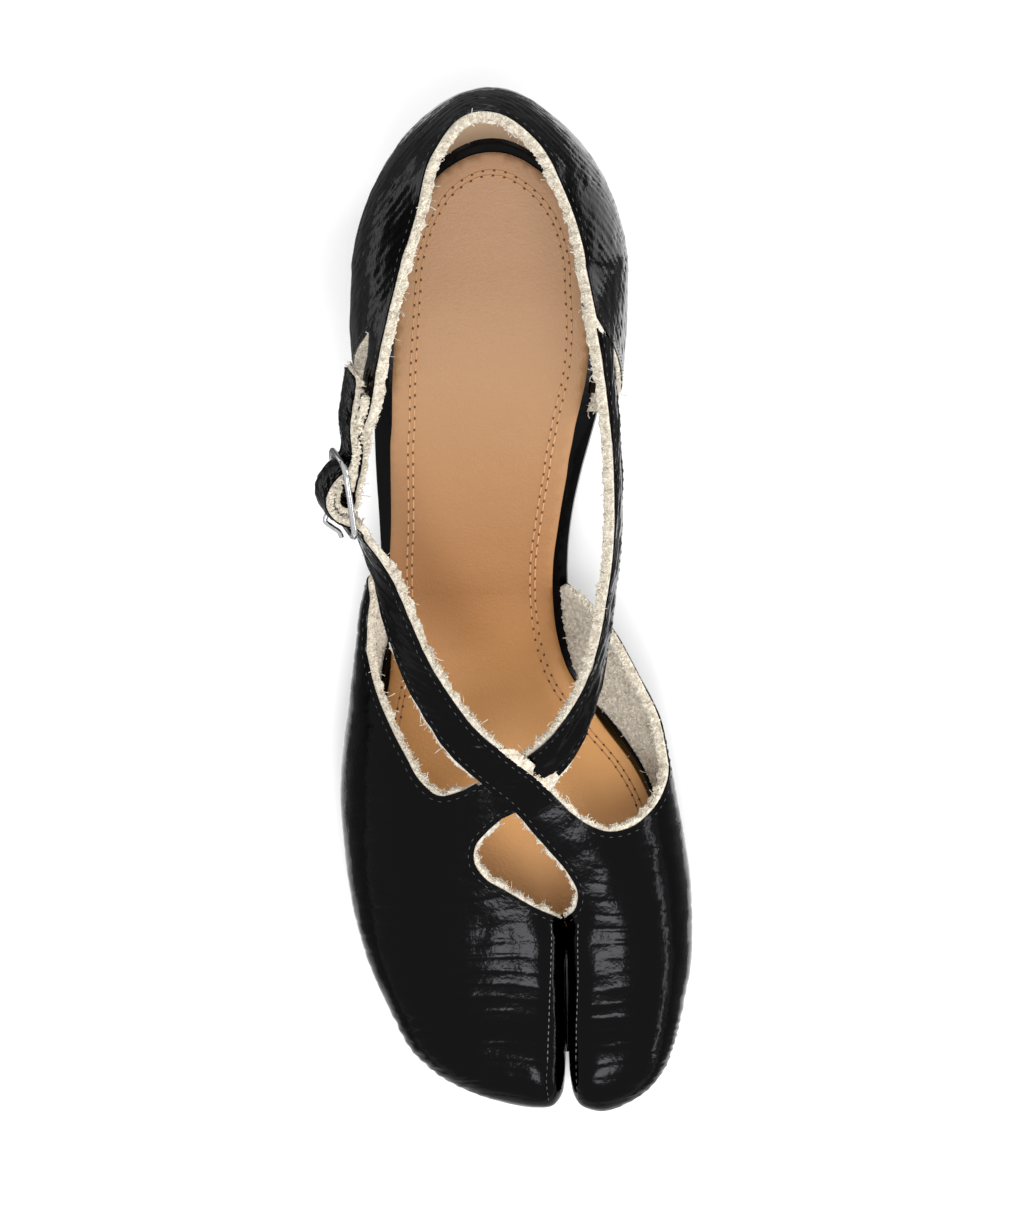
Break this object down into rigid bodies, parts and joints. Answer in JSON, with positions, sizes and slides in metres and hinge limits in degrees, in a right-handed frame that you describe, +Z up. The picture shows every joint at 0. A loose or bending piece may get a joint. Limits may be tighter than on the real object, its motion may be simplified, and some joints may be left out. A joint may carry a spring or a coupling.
{
  "type": "tabi pump",
  "caption": "Right split-toe pump in ribbed glossy black cloth with a cut-away waist, crossed instep straps, a buckle and a block heel.",
  "frame": {"origin": "centre of the shoe's bounding box, on the floor under its tread and heel tip", "axes": "+Y along the foot towards the heel, +Z up, +X towards the inner (big-toe) side"},
  "size_m": [0.0839, 0.2343, 0.112],
  "materials": {
    "ribbed_cloth": "glossy ribbed face, cream pile backing",
    "outsole_leather": "smooth",
    "board": "polished black edge",
    "sock_leather": "matte tan",
    "heel_leather": "smooth, semi-gloss",
    "top_piece_rubber": "matte",
    "buckle_metal": "polished"
  },
  "bodies": {
    "root": {"upper": "ribbed_cloth", "outsole": "outsole_leather", "insole_board": "board", "insole_sock": "sock_leather", "heel_block": "heel_leather", "heel_top_piece": "top_piece_rubber", "buckle_frame": "buckle_metal", "buckle_prong": "buckle_metal"}
  },
  "joints": []
}
